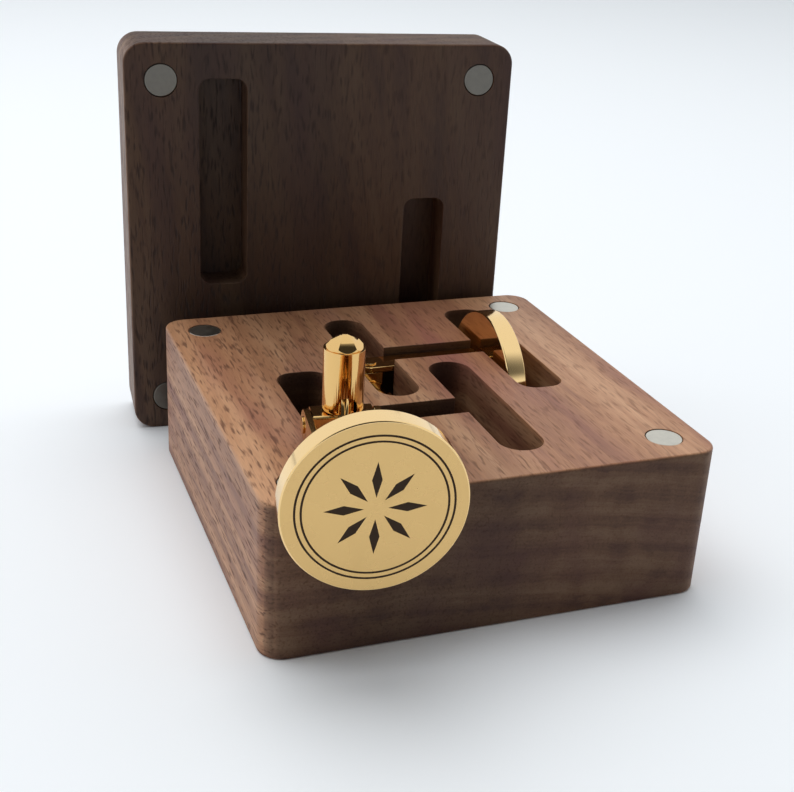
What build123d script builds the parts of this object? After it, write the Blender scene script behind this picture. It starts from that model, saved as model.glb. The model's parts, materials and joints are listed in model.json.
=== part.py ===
"""Cufflink display box: a two-piece walnut box with magnets, shown open with a pair of cufflinks.

Frame: millimetres, +Z up, -Y the front, +X to the right. The origin is the centre of the
base's underside. The lid stands on its edge behind the base, one cufflink stands in the front
pocket with its face forward, and the other one lies stored in the rear pocket.

A cufflink is built in a frame of its own, with its origin at the pivot: X runs from the pivot
to the face disc, Y is the pivot pin and Z is the long axis of the toggle.
"""
from build123d import *
import math
import os

# ---- Walnut halves ----------------------------------------------------------------------
BOX_WIDTH = 50.0
BOX_DEPTH = 51.0
BASE_HEIGHT = 17.4
BASE_FLOOR = 3.3             # wood left under the pockets
LID_ROOF = 4.5               # wood left over the pockets
CORNER_RADIUS = 2.6          # upright corners, in plan
EDGE_EASE = 0.3              # sanded edges
CUTTER_RADIUS = 2.1          # rounding that the router leaves in the base's disc slots
LID_CUTTER_RADIUS = 1.4      # and in the lid's

# ---- Lid, standing on its front-to-back edge ---------------------------------------------
LID_STANDOFF = 3.8           # from the base's back to the middle of the lid's inner face
LID_SHIFT = -3.05            # sideways
LID_YAW = -4.3               # degrees

# ---- Magnets ---------------------------------------------------------------------------
MAGNET_DIAMETER = 4.0
MAGNET_LENGTH = 2.0
MAGNET_INSET = 4.5           # centre to the edges of the wood
MAGNET_GLUE = 0.05           # bore to magnet, radial
MAGNET_SINK = 0.05           # below the face

# ---- Cufflink: face disc ------------------------------------------------------------------
DISC_DIAMETER = 18.0
DISC_THICKNESS = 2.4
DISC_CHAMFER = 0.12
REACH = 14.9                 # pivot to the back of the disc

# ---- Cufflink: engraved ornament on the disc ------------------------------------------------
ENGRAVE_DEPTH = 0.06
RING_INSET = 1.35            # disc edge to the outer ring
RING_WIDTH = 0.22
RING_PITCH = 0.6             # from one ring to the next
RING_COUNT = 2
PETAL_COUNT = 8
PETAL_START = 1.1            # radii
PETAL_END = 4.9
PETAL_WIDTH = 1.0

# ---- Cufflink: fork and pin -------------------------------------------------------------
FORK_WIDTH = 3.3
FORK_ARM = 0.75
FORK_BASE = 1.2
FORK_BEND = 0.7              # outer corner radius of the U
PIN_DIAMETER = 1.2
PIN_HEAD_DIAMETER = 1.8
PIN_HEAD = 0.16
PIN_SEAT_GAP = 0.01          # radial, pin held in the fork
PIN_RUNNING_GAP = 0.05       # radial, hub turning on the pin

# ---- Cufflink: toggle --------------------------------------------------------------------
BARREL_DIAMETER = 4.3
BARREL_LENGTH = 6.85
TOGGLE_HALF_LENGTH = 9.85    # pivot to the tip of a cap
HUB_DEPTH = 3.0              # along X
HUB_HEIGHT = 3.0             # along Z
HUB_WIDTH = 6.5              # along Y
HUB_ROUND = 0.3
SIDE_GAP = 0.05              # hub to each fork arm
BARREL_GAP = 0.1             # hub to each barrel
SPIGOT_DIAMETER = 2.6
SPIGOT_LENGTH = 2.4
SPIGOT_GAP = 0.03            # radial, and at the spigot's end
NOTCH_WIDTH = 2.3            # arch cut in the barrel's inner end
NOTCH_HEIGHT = 2.1
BARREL_ROUND = 0.4           # outer edge of the barrel's inner end
LIP_WALL = 0.25              # barrel wall round the cap
CAP_SEAT = 0.7               # depth of the cap's seat
CAP_GAP = 0.03               # cap to its seat
CAP_GIRDLE = 1.25            # apothem where the lower facets end
CAP_GIRDLE_HEIGHT = 0.85     # above the lip
CAP_TABLE = 0.22             # apothem of the small top facet
CAP_FACETS = 6

# ---- Pockets: what they leave free round a cufflink ------------------------------------------
DISC_END_PLAY = 4.25         # beyond each end of the disc
REAR_BACK_PLAY = 0.65        # behind the disc
FRONT_BACK_PLAY = 0.15
REAR_FACE_PLAY = 2.5         # in front of the disc
FRONT_FACE_PLAY = 3.5
TOGGLE_SIDE_PLAY = 0.4       # each side
TOGGLE_END_PLAY = 2.5        # beyond each cap
FORK_SIDE_PLAY = 0.3         # each side
LID_HEADROOM = 0.7           # over a stored disc
SEAT_GAP = 0.1               # a resting piece to the wood it rests on

# ---- Where the pockets and cufflinks are, in plan ----------------------------------------------
REAR_PIVOT_X = -3.05
REAR_END_WALL = 4.4          # wood left behind the rear disc slot
REAR_PIVOT_SHIFT = 0.6       # from the middle of that slot back to the pivot
FRONT_PIVOT_X = 4.9          # where a cufflink would lie in the front pocket
FRONT_END_WALL = 4.35        # wood left in front of the front disc slot
FRONT_STAND_GAP = 0.1        # standing toggle to the disc slot's outer wall
FRONT_DISC_STANDOFF = 2.95   # the base's front face to the back of the displayed disc
FRONT_YAW = -7.3             # degrees, the way the standing cufflink faces
FRONT_DROOP = 2.0            # degrees, its disc below the level of the pivot

# ---- Worked out from the sizes above ---------------------------------------------------------
pocket_depth = BASE_HEIGHT - BASE_FLOOR
lid_pocket_depth = DISC_DIAMETER + SEAT_GAP + LID_HEADROOM - pocket_depth
lid_thickness = lid_pocket_depth + LID_ROOF
disc_slot_length = DISC_DIAMETER + 2 * DISC_END_PLAY
toggle_slot_width = BARREL_DIAMETER + 2 * TOGGLE_SIDE_PLAY
toggle_slot_length = 2 * (TOGGLE_HALF_LENGTH + TOGGLE_END_PLAY)
bridge_width = FORK_WIDTH + 2 * FORK_SIDE_PLAY
rear_slot_y = BOX_DEPTH / 2 - REAR_END_WALL - disc_slot_length / 2
front_slot_y = FRONT_END_WALL + disc_slot_length / 2 - BOX_DEPTH / 2
rear_pivot = (REAR_PIVOT_X, rear_slot_y + REAR_PIVOT_SHIFT)
front_pivot = (FRONT_PIVOT_X, front_slot_y)
fork_inner = HUB_WIDTH / 2 + SIDE_GAP
fork_outer = fork_inner + FORK_ARM
barrel_start = HUB_HEIGHT / 2 + BARREL_GAP
barrel_end = barrel_start + BARREL_LENGTH
cap_radius = BARREL_DIAMETER / 2 - LIP_WALL


class Pocket:
    """An H-shaped pocket: a disc slot, a toggle slot and the bridge for the fork between them."""

    def __init__(self, pivot, side, slot_y, back_play, face_play):
        self.pivot_x, self.y = pivot           # side is +1 with the disc slot to the right
        self.disc_slot_width = back_play + DISC_THICKNESS + face_play
        self.inner_wall = self.pivot_x + side * (REACH - back_play)
        self.outer_wall = self.inner_wall + side * self.disc_slot_width
        self.disc_slot_x = (self.inner_wall + self.outer_wall) / 2
        self.disc_slot_y = slot_y

    def disc_slot(self, corner):
        slot = RectangleRounded(self.disc_slot_width, disc_slot_length, corner)
        return Pos(self.disc_slot_x, self.disc_slot_y) * slot

    def toggle_slot(self):
        slot = SlotOverall(toggle_slot_length, toggle_slot_width, rotation=90)
        return Pos(self.pivot_x, self.y) * slot

    def bridge(self):
        bar = Rectangle(abs(self.disc_slot_x - self.pivot_x), bridge_width)
        return Pos((self.disc_slot_x + self.pivot_x) / 2, self.y) * bar


REAR_POCKET = Pocket(rear_pivot, 1, rear_slot_y, REAR_BACK_PLAY, REAR_FACE_PLAY)
FRONT_POCKET = Pocket(front_pivot, -1, front_slot_y, FRONT_BACK_PLAY, FRONT_FACE_PLAY)
POCKETS = (REAR_POCKET, FRONT_POCKET)

MAGNET_CORNERS = {
    "front_left": (-1, -1),
    "front_right": (1, -1),
    "rear_left": (-1, 1),
    "rear_right": (1, 1),
}


# ---- Walnut halves and their magnets -----------------------------------------------------------
def magnet_place(corner):
    sign_x, sign_y = MAGNET_CORNERS[corner]
    return sign_x * (BOX_WIDTH / 2 - MAGNET_INSET), sign_y * (BOX_DEPTH / 2 - MAGNET_INSET)


def wood_plate(height):
    """A plate from z = 0 up to height, with rounded corners and eased edges."""
    plate = extrude(RectangleRounded(BOX_WIDTH, BOX_DEPTH, CORNER_RADIUS), height)
    faces = plate.faces().sort_by(Axis.Z)
    return fillet(faces[0].edges() + faces[-1].edges(), EDGE_EASE)


def base_block():
    block = wood_plate(BASE_HEIGHT)
    top = Plane.XY.offset(BASE_HEIGHT)
    for pocket in POCKETS:
        outline = pocket.disc_slot(CUTTER_RADIUS) + pocket.toggle_slot() + pocket.bridge()
        block -= extrude(top * outline, -pocket_depth)
    for corner in MAGNET_CORNERS:
        bore = Circle(MAGNET_DIAMETER / 2 + MAGNET_GLUE)
        block -= extrude(top * Pos(*magnet_place(corner)) * bore, -(MAGNET_LENGTH + MAGNET_SINK))
    return block


def base_magnet(corner):
    x, y = magnet_place(corner)
    bottom = BASE_HEIGHT - MAGNET_SINK - MAGNET_LENGTH
    return Pos(x, y, bottom) * extrude(Circle(MAGNET_DIAMETER / 2), MAGNET_LENGTH)


def lid_block():
    """The lid as if closed, with its inner face at z = 0 and its pockets open downwards."""
    block = wood_plate(lid_thickness)
    for pocket in POCKETS:
        block -= extrude(pocket.disc_slot(LID_CUTTER_RADIUS), lid_pocket_depth)
    for corner in MAGNET_CORNERS:
        bore = Circle(MAGNET_DIAMETER / 2 + MAGNET_GLUE)
        block -= extrude(Pos(*magnet_place(corner)) * bore, MAGNET_LENGTH + MAGNET_SINK)
    return block


def lid_magnet(corner):
    x, y = magnet_place(corner)
    return Pos(x, y, MAGNET_SINK) * extrude(Circle(MAGNET_DIAMETER / 2), MAGNET_LENGTH)


def lid_location():
    """From the closed lid's frame to where it stands, inner face forward, front edge up."""
    stand = Pos(LID_SHIFT, BOX_DEPTH / 2 + LID_STANDOFF, BOX_DEPTH / 2)
    return stand * Rot(0, 0, LID_YAW) * Rot(-90, 0, 0)


# ---- Cufflink: head -----------------------------------------------------------------------------
def ornament():
    """Rings round the edge and a rosette of petals, drawn about the disc's centre."""
    outer = DISC_DIAMETER / 2 - RING_INSET
    rings = []
    for index in range(RING_COUNT):
        radius = outer - index * RING_PITCH
        rings.append(Circle(radius) - Circle(radius - RING_WIDTH))
    middle = (PETAL_START + PETAL_END) / 2
    half = PETAL_WIDTH / 2
    petal = make_face(Polyline((PETAL_START, 0), (middle, half), (PETAL_END, 0), (middle, -half), close=True))
    petals = [Rot(0, 0, index * 360 / PETAL_COUNT) * petal for index in range(PETAL_COUNT)]
    return rings + petals


def disc():
    back = Plane.YZ.offset(REACH)
    body = extrude(back * Circle(DISC_DIAMETER / 2), DISC_THICKNESS)
    body = chamfer(body.edges().filter_by(GeomType.CIRCLE), DISC_CHAMFER)
    face = Plane.YZ.offset(REACH + DISC_THICKNESS)
    for shape in ornament():
        body -= extrude(face * shape, -ENGRAVE_DEPTH)
    return body


def fork():
    """A U with its base on the disc and its arms either side of the hub, round at their ends."""
    outline = Pos(REACH / 2, 0) * Rectangle(REACH, FORK_WIDTH) + Circle(FORK_WIDTH / 2)
    body = extrude(Plane.XZ * outline, fork_outer, both=True)
    bends = body.edges().filter_by(Axis.Z).sort_by(Axis.X)[-2:]
    body = fillet(bends, FORK_BEND)
    room = REACH - FORK_BASE
    body -= Pos(room / 2 - FORK_WIDTH / 2, 0, 0) * Box(room + FORK_WIDTH, 2 * fork_inner, 2 * FORK_WIDTH)
    hole = Circle(PIN_DIAMETER / 2 + PIN_SEAT_GAP)
    return body - extrude(Plane.XZ * hole, 2 * fork_outer, both=True)


def pin():
    shank = extrude(Plane.XZ * Circle(PIN_DIAMETER / 2), fork_outer, both=True)
    for side in (1, -1):
        end = Plane.XZ.offset(side * fork_outer)
        shank += extrude(end * Circle(PIN_HEAD_DIAMETER / 2), side * PIN_HEAD)
    return shank


# ---- Cufflink: toggle -----------------------------------------------------------------------
def hub():
    body = Box(HUB_DEPTH, HUB_WIDTH, HUB_HEIGHT)
    body = fillet(body.edges().filter_by(Axis.Y), HUB_ROUND)
    length = HUB_HEIGHT / 2 + SPIGOT_LENGTH
    body += extrude(Circle(SPIGOT_DIAMETER / 2), length, both=True)
    bore = Circle(PIN_DIAMETER / 2 + PIN_RUNNING_GAP)
    return body - extrude(Plane.XZ * bore, HUB_WIDTH, both=True)


def barrel():
    """The upper barrel, with an arch in its inner end and a seat for the cap in its outer one."""
    body = extrude(Plane.XY.offset(barrel_start) * Circle(BARREL_DIAMETER / 2), BARREL_LENGTH)
    body = fillet(body.edges().sort_by(Axis.Z)[0], BARREL_ROUND)
    bore_end = HUB_HEIGHT / 2 + SPIGOT_LENGTH + SPIGOT_GAP
    bore = Circle(SPIGOT_DIAMETER / 2 + SPIGOT_GAP)
    body -= extrude(Plane.XY.offset(barrel_start) * bore, bore_end - barrel_start)
    body -= extrude(Plane.XY.offset(barrel_end) * Circle(cap_radius + CAP_GAP), -CAP_SEAT)
    straight = NOTCH_HEIGHT - NOTCH_WIDTH / 2
    arch = Pos(0, barrel_start + straight / 2) * Rectangle(NOTCH_WIDTH, straight)
    arch += Pos(0, barrel_start + straight) * Circle(NOTCH_WIDTH / 2)
    return body - extrude(Plane.YZ * arch, BARREL_DIAMETER, both=True)


def cap():
    """The upper cap: a round plug with two rows of facets on it."""
    seat = barrel_end - CAP_SEAT + CAP_GAP
    plug = extrude(Plane.XY.offset(seat) * Circle(cap_radius), TOGGLE_HALF_LENGTH - seat)

    def level(apothem, height):
        facets = RegularPolygon(apothem, CAP_FACETS, major_radius=False, rotation=180 / CAP_FACETS)
        return Plane.XY.offset(height) * facets

    girdle = barrel_end + CAP_GIRDLE_HEIGHT
    lower = loft([level(cap_radius, barrel_end), level(CAP_GIRDLE, girdle)])
    upper = loft([level(CAP_GIRDLE, girdle), level(CAP_TABLE, TOGGLE_HALF_LENGTH)])
    stem = extrude(Plane.XY.offset(seat) * Circle(cap_radius + CAP_GAP), barrel_end - seat)
    return plug & (stem + lower + upper)


def flipped(shape):
    """The same piece for the toggle's other end."""
    return Rot(180, 0, 0) * shape


# ---- Where each cufflink is ---------------------------------------------------------------------
def rear_location():
    """Stored: pin upright, toggle along the depth, disc on edge on the pocket's floor."""
    height = BASE_FLOOR + SEAT_GAP + DISC_DIAMETER / 2
    return Plane((*rear_pivot, height), x_dir=(1, 0, 0), z_dir=(0, -1, 0)).location


def front_location():
    """Standing: toggle upright in the disc slot, fork resting on the base's front edge."""
    yaw = math.radians(FRONT_YAW)
    droop = math.radians(FRONT_DROOP)
    x = FRONT_POCKET.outer_wall + FRONT_STAND_GAP + BARREL_DIAMETER / 2
    y = REACH * math.cos(droop) * math.cos(yaw) - FRONT_DISC_STANDOFF - BOX_DEPTH / 2
    over_edge = (BOX_DEPTH / 2 + y) / math.cos(yaw)
    under_axis = FORK_WIDTH / 2 / math.cos(droop)
    height = BASE_HEIGHT + SEAT_GAP + under_axis + over_edge * math.tan(droop)
    forward = (math.sin(yaw), -math.cos(yaw), 0)
    return Plane((x, y, height), x_dir=forward, z_dir=(0, 0, 1)).location


def cufflink(name, toggle_place, droop):
    """The eight pieces of one cufflink, by node name."""
    head_place = toggle_place * Rot(0, droop, 0)
    return {
        f"{name}_disc": head_place * disc(),
        f"{name}_fork": head_place * fork(),
        f"{name}_pin": head_place * pin(),
        f"{name}_hub": toggle_place * hub(),
        f"{name}_barrel_a": toggle_place * barrel(),
        f"{name}_barrel_b": toggle_place * flipped(barrel()),
        f"{name}_cap_a": toggle_place * cap(),
        f"{name}_cap_b": toggle_place * flipped(cap()),
    }


def main():
    nodes = {"base_block": base_block()}
    nodes["lid_block"] = lid_location() * lid_block()
    for corner in MAGNET_CORNERS:
        nodes[f"base_magnet_{corner}"] = base_magnet(corner)
        nodes[f"lid_magnet_{corner}"] = lid_location() * lid_magnet(corner)
    nodes.update(cufflink("front", front_location(), FRONT_DROOP))
    nodes.update(cufflink("rear", rear_location(), 0))
    os.makedirs("parts", exist_ok=True)
    for name, shape in nodes.items():
        export_step(shape, f"parts/{name}.step")
    print("standing pivot", front_location().position, "stored pivot", rear_location().position)


main()
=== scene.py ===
"""Cufflink display box: the finishes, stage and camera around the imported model.

Everything is in metres in the model's own frame: +Z up, -Y the front, +X to the right. The
walnut halves, magnets and cufflinks are softened copies of the model's solids, so their sizes
and places are the model's. A cufflink is two gold pieces on one pin: the head with its engraved
disc, and the toggle.
"""
import json
import math

import bmesh
import bpy
from bpy.props import FloatProperty, FloatVectorProperty, IntProperty, PointerProperty
from mathutils import Matrix, Vector


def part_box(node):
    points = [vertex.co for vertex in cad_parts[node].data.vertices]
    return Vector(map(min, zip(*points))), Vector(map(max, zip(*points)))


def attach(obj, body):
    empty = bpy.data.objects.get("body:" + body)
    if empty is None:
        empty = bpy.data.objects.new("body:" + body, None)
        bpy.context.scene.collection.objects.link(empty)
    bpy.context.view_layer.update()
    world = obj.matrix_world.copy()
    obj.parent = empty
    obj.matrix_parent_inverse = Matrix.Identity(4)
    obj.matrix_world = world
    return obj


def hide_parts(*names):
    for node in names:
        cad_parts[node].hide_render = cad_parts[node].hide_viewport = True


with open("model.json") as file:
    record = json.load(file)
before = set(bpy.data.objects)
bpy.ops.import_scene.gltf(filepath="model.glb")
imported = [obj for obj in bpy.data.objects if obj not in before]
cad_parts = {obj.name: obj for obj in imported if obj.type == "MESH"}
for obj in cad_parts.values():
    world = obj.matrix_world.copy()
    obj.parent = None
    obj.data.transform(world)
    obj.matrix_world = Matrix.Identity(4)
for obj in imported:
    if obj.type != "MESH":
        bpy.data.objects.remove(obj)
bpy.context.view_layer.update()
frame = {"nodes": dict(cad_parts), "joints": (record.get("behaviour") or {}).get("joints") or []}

bl_info = {
    "name": "Cufflink display box",
    "version": (1, 0, 0),
    "blender": (4, 5, 0),
    "location": "View3D > Sidebar > Cufflink box",
    "description": "Walnut, gold and nickel finishes for a cufflink display box, with its stage",
    "category": "Object",
}

MM = 0.001
CUFFLINKS = ("front", "rear")
HALVES = ("base", "lid")
CORNERS = ("front_left", "front_right", "rear_left", "rear_right")
PIN_JOINTS = {"front": "front_swing", "rear": "rear_turn"}
# Each fitting's body, and its rounding as a share of the gold's edge radius.
FITTINGS = {
    "fork": ("head", 4.0), "pin": ("head", 1.0), "hub": ("toggle", 1.5),
    "barrel_a": ("toggle", 1.2), "barrel_b": ("toggle", 1.2),
    "cap_a": ("toggle", 0.7), "cap_b": ("toggle", 0.7),
}


def linear(colour):
    """An sRGB hex colour as linear red, green and blue."""
    channels = [int(colour[start:start + 2], 16) / 255 for start in (1, 3, 5)]
    return tuple(c / 12.92 if c <= 0.04045 else ((c + 0.055) / 1.055) ** 2.4 for c in channels)


# ---- Sizes and colours that can be changed -------------------------------------------------------
class WalnutSettings(bpy.types.PropertyGroup):
    """Oiled black walnut."""

    light: FloatVectorProperty(
        name="Light wood", description="Sapwood side of the figure",
        subtype="COLOR", size=3, default=linear("#B38867"))
    mean: FloatVectorProperty(
        name="Mean wood", description="The common colour of the board",
        subtype="COLOR", size=3, default=linear("#9E7152"))
    dark: FloatVectorProperty(
        name="Dark wood", description="Late wood and the dark streaks",
        subtype="COLOR", size=3, default=linear("#7C523D"))
    violet: FloatVectorProperty(
        name="Violet wood", description="Heartwood with a violet cast, in broad streaks",
        subtype="COLOR", size=3, default=linear("#865549"))
    pore: FloatVectorProperty(
        name="Pores", description="Open pores, dark with oil",
        subtype="COLOR", size=3, default=linear("#4A2A1E"))
    # A painted shade: the lid's whole board is drawn darker than the base's.
    lid_painted_shade: FloatProperty(
        name="Lid board", description="Brightness of the lid's board to the base's",
        default=0.42, subtype="FACTOR")
    ring_pitch: FloatProperty(
        name="Ring pitch", description="From one growth ring to the next",
        default=3.2 * MM, unit="LENGTH")
    pore_width: FloatProperty(
        name="Pore width", description="A pore and its wall, across the grain",
        default=0.3 * MM, unit="LENGTH")
    pore_length: FloatProperty(
        name="Pore length", description="A pore's opening, along the grain",
        default=2.2 * MM, unit="LENGTH")
    roughness: FloatProperty(
        name="Roughness", description="Sanded and oiled side grain", default=0.46, subtype="FACTOR")
    ease: FloatProperty(
        name="Ease", description="Rounding on the pocket mouths", default=0.1 * MM, unit="LENGTH")


class GoldSettings(bpy.types.PropertyGroup):
    """Gold plate on turned and milled brass."""

    plate: FloatVectorProperty(
        name="Plate", description="Reflectance of the buffed fork and toggle",
        subtype="COLOR", size=3, default=linear("#E8BE7C"))
    # Paler and brighter than plate: a painted highlight on the discs' rims and backs.
    turned: FloatVectorProperty(
        name="Turned plate", description="Reflectance of a disc's turned rim and back",
        subtype="COLOR", size=3, default=linear("#F6D296"))
    # Deeper than plate: a painted shade on the discs' faces.
    lapped: FloatVectorProperty(
        name="Lapped plate", description="Reflectance of the lapped face of a disc",
        subtype="COLOR", size=3, default=linear("#DCB77A"))
    polish: FloatProperty(
        name="Polished roughness", description="Buffed barrels, fork and rim", default=0.09, subtype="FACTOR")
    satin: FloatProperty(
        name="Satin roughness", description="Lapped face of the disc", default=0.27, subtype="FACTOR")
    edge: FloatProperty(
        name="Edge radius", description="Rounding that buffing leaves", default=0.04 * MM, unit="LENGTH")


class EngravingSettings(bpy.types.PropertyGroup):
    """The ornament on each disc: a rosette of petals inside thin rings."""

    petals: IntProperty(name="Petals", description="Number of petals", default=8)
    petal_start: FloatProperty(
        name="Petal start", description="Radius where a petal starts", default=1.1 * MM, unit="LENGTH")
    petal_end: FloatProperty(
        name="Petal end", description="Radius where a petal ends", default=4.9 * MM, unit="LENGTH")
    petal_width: FloatProperty(
        name="Petal width", description="Across the middle of a petal", default=1.0 * MM, unit="LENGTH")
    rings: IntProperty(name="Rings", description="Number of rings", default=2)
    ring_inset: FloatProperty(
        name="Ring inset", description="Disc edge to the outer ring", default=1.35 * MM, unit="LENGTH")
    ring_width: FloatProperty(
        name="Ring width", description="Width of one ring's groove", default=0.22 * MM, unit="LENGTH")
    ring_pitch: FloatProperty(
        name="Ring pitch", description="From one ring to the next", default=0.6 * MM, unit="LENGTH")
    depth: FloatProperty(
        name="Depth", description="Face to the floor of the engraving", default=0.06 * MM, unit="LENGTH")
    margin: FloatProperty(
        name="Margin", description="Darkened skin to the groove's walls", default=0.008 * MM, unit="LENGTH")
    colour: FloatVectorProperty(
        name="Darkening", description="Laser-darkened floor of the grooves",
        subtype="COLOR", size=3, default=linear("#3A2714"))


class MagnetSettings(bpy.types.PropertyGroup):
    """Nickel-plated disc magnets."""

    nickel: FloatVectorProperty(
        name="Nickel", description="Reflectance of the plate",
        subtype="COLOR", size=3, default=linear("#CBC6BA"))
    # The lid's magnets get a darker nickel: a painted shade with a painted dark reflection.
    lid_nickel_painted_shade: FloatVectorProperty(
        name="Dulled nickel", description="Reflectance of the duller plate on the lid's magnets",
        subtype="COLOR", size=3, default=linear("#6E6B65"))
    roughness: FloatProperty(
        name="Roughness", description="Dull barrel-plated nickel", default=0.34, subtype="FACTOR")
    edge: FloatProperty(
        name="Edge radius", description="Rounded rim of a magnet", default=0.14 * MM, unit="LENGTH")


class StageSettings(bpy.types.PropertyGroup):
    """Floor, light and camera."""

    floor: FloatVectorProperty(
        name="Floor", description="Matte white paper", subtype="COLOR", size=3, default=linear("#F4F7FA"))
    floor_size: FloatProperty(
        name="Floor size", description="Side of the floor", default=6.0, unit="LENGTH")
    floor_dim_start: FloatProperty(
        name="Floor dims from", description="Forward of here the floor lights the object less",
        default=-75 * MM, unit="LENGTH")
    floor_dim_end: FloatProperty(
        name="Floor dims to", description="Where it lights it least", default=-120 * MM, unit="LENGTH")
    floor_dim: FloatProperty(
        name="Dim floor", description="What is left of the floor's light there", default=0.1,
        subtype="FACTOR")
    sky: FloatProperty(name="Sky", description="Light from behind and the sides", default=0.94)
    sky_colour: FloatVectorProperty(
        name="Sky colour", description="A hint of daylight blue",
        subtype="COLOR", size=3, default=linear("#F8FCFF"))
    room: FloatProperty(name="Room", description="Light from the room in front", default=0.05)
    lamp_power: FloatProperty(
        name="Lamp power", description="Soft box over the back", default=2.6, unit="POWER")
    lamp_size: FloatProperty(
        name="Lamp size", description="Side of the soft box", default=0.6, unit="LENGTH")
    lamp_place: FloatVectorProperty(
        name="Lamp place", description="Middle of the soft box",
        size=3, default=(-0.08, 0.14, 0.6), subtype="TRANSLATION")
    lamp_aim: FloatVectorProperty(
        name="Lamp aim", description="What the soft box points at",
        size=3, default=(0, 0, 0.015), subtype="TRANSLATION")
    camera_place: FloatVectorProperty(
        name="Camera place", description="Where the camera stands",
        size=3, default=(-52.008 * MM, -128.076 * MM, 75.921 * MM), subtype="TRANSLATION")
    azimuth: FloatProperty(
        name="Azimuth", description="Way round from the front",
        default=math.radians(-21.160), subtype="ANGLE")
    elevation: FloatProperty(
        name="Elevation", description="Height over the level",
        default=math.radians(23.726), subtype="ANGLE")
    roll: FloatProperty(
        name="Roll", description="Tilt of the frame", default=math.radians(3.051), subtype="ANGLE")
    lens: FloatProperty(name="Lens", description="Focal length in millimetres", default=58.45)


# ---- Shared by the materials and trees -----------------------------------------------------------
def add(tree, kind, inputs=None, **settings):
    """A node with its settings; an input is a value, or the socket that feeds it."""
    node = tree.nodes.new(kind)
    for name, value in settings.items():
        setattr(node, name, value)
    for socket, value in (inputs or {}).items():
        if isinstance(value, bpy.types.NodeSocket):
            tree.links.new(value, node.inputs[socket])
        else:
            node.inputs[socket].default_value = value
    return node


def new_material(name):
    """An empty material with its Principled shader."""
    material = bpy.data.materials.new(name)
    material.use_nodes = True
    tree = material.node_tree
    tree.nodes.clear()
    shader = tree.nodes.new("ShaderNodeBsdfPrincipled")
    add(tree, "ShaderNodeOutputMaterial", {"Surface": shader.outputs["BSDF"]})
    return material, tree, shader


def opaque(colour):
    """The colour with the alpha that a node's socket wants."""
    return (*colour, 1.0)


# ---- Oiled walnut --------------------------------------------------------------------------------
# How each half's board was sawn and finished, and the painted shade it takes. turn brings its grain
# onto Y, and shift says which part of the log it came from. pores is how dark its pores are at the
# most. front is a painted shade on its faces that look forward, and pocket a painted shade on the walls and
# floors of its pockets.
BOARDS = {
    # The grain runs front to back.
    "base": {"turn": (0, 0, 0), "shift": (0.02, 0.0, 0.19), "pores": 0.74, "front": 0.8, "pocket": 0.7},
    # It stands on end, so the grain runs upwards.
    "lid": {"turn": (math.radians(94), math.radians(7), 0), "shift": (-0.02, 0.2, 0.23),
            "pores": 0.8, "front": 0.52, "pocket": 1.0},
}
# Across its width a board has a dark band left of the middle and a pale one right of it.
BAND_PLACES = (0.0, 0.26, 0.46, 0.66, 1.0)
BAND_TONES = (1.0, 0.63, 0.72, 1.0, 0.98)
# Brings the mean of the bands back to about 1.
BAND_LIFT = 1.2
# What the oil that end grain drinks leaves of its brightness.
END_GRAIN_TONE = 0.45
# Past the first depth under the block's skin its surface starts to count as a pocket's, and past the
# second it is one.
POCKET_DEPTH = (0.35 * MM, 0.5 * MM)


def walnut_figure(tree, grain):
    """The board's streaks and rings as one number from pale to dark, and the broad streaks alone."""
    settings = bpy.context.scene.cufflink_walnut
    # Growth rings about the log's far heart, wandering slowly along the grain.
    stretched = add(tree, "ShaderNodeMapping", {
        "Vector": grain.outputs["Vector"], "Scale": (1 / MM, 0.1 / MM, 1 / MM)})
    rings = add(tree, "ShaderNodeTexWave", {
        "Vector": stretched.outputs["Vector"], "Scale": math.tau / 20 / (settings.ring_pitch / MM),
        "Distortion": 3.4, "Detail": 3.0, "Detail Scale": 0.16, "Detail Roughness": 0.55,
    }, wave_type="RINGS", rings_direction="Y", wave_profile="SIN")

    # Broad streaks, a few millimetres wide and many long.
    broad = add(tree, "ShaderNodeMapping", {
        "Vector": grain.outputs["Vector"], "Scale": (0.3 / MM, 0.02 / MM, 0.3 / MM)})
    streak = add(tree, "ShaderNodeTexNoise", {
        "Vector": broad.outputs["Vector"], "Scale": 1.0, "Detail": 4.0, "Roughness": 0.6})

    # Bands of early and late wood, half a millimetre thick and long round the heart.
    flat = add(tree, "ShaderNodeVectorMath", {0: grain.outputs["Vector"], 1: (1, 0, 1)}, operation="MULTIPLY")
    radius = add(tree, "ShaderNodeVectorMath", {0: flat.outputs["Vector"]}, operation="LENGTH")
    swung = add(tree, "ShaderNodeMath", {
        0: streak.outputs["Fac"], 1: 1.4 * MM, 2: radius.outputs["Value"]}, operation="MULTIPLY_ADD")
    across = add(tree, "ShaderNodeSeparateXYZ", {"Vector": grain.outputs["Vector"]})
    round_heart = add(tree, "ShaderNodeCombineXYZ", {
        "X": across.outputs["X"], "Y": across.outputs["Y"], "Z": swung.outputs["Value"]})
    thin = add(tree, "ShaderNodeMapping", {
        "Vector": round_heart.outputs["Vector"], "Scale": (0.07 / MM, 0.02 / MM, 2.1 / MM)})
    band = add(tree, "ShaderNodeTexNoise", {
        "Vector": thin.outputs["Vector"], "Scale": 1.0, "Detail": 4.0, "Roughness": 0.65})

    mixed = add(tree, "ShaderNodeMix", {
        0: 0.42, 2: streak.outputs["Fac"], 3: band.outputs["Fac"]}, data_type="FLOAT")
    figure = add(tree, "ShaderNodeMath", {0: rings.outputs["Fac"], 1: 0.14, 2: mixed.outputs[0]},
                 operation="MULTIPLY_ADD")
    return figure, streak


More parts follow.
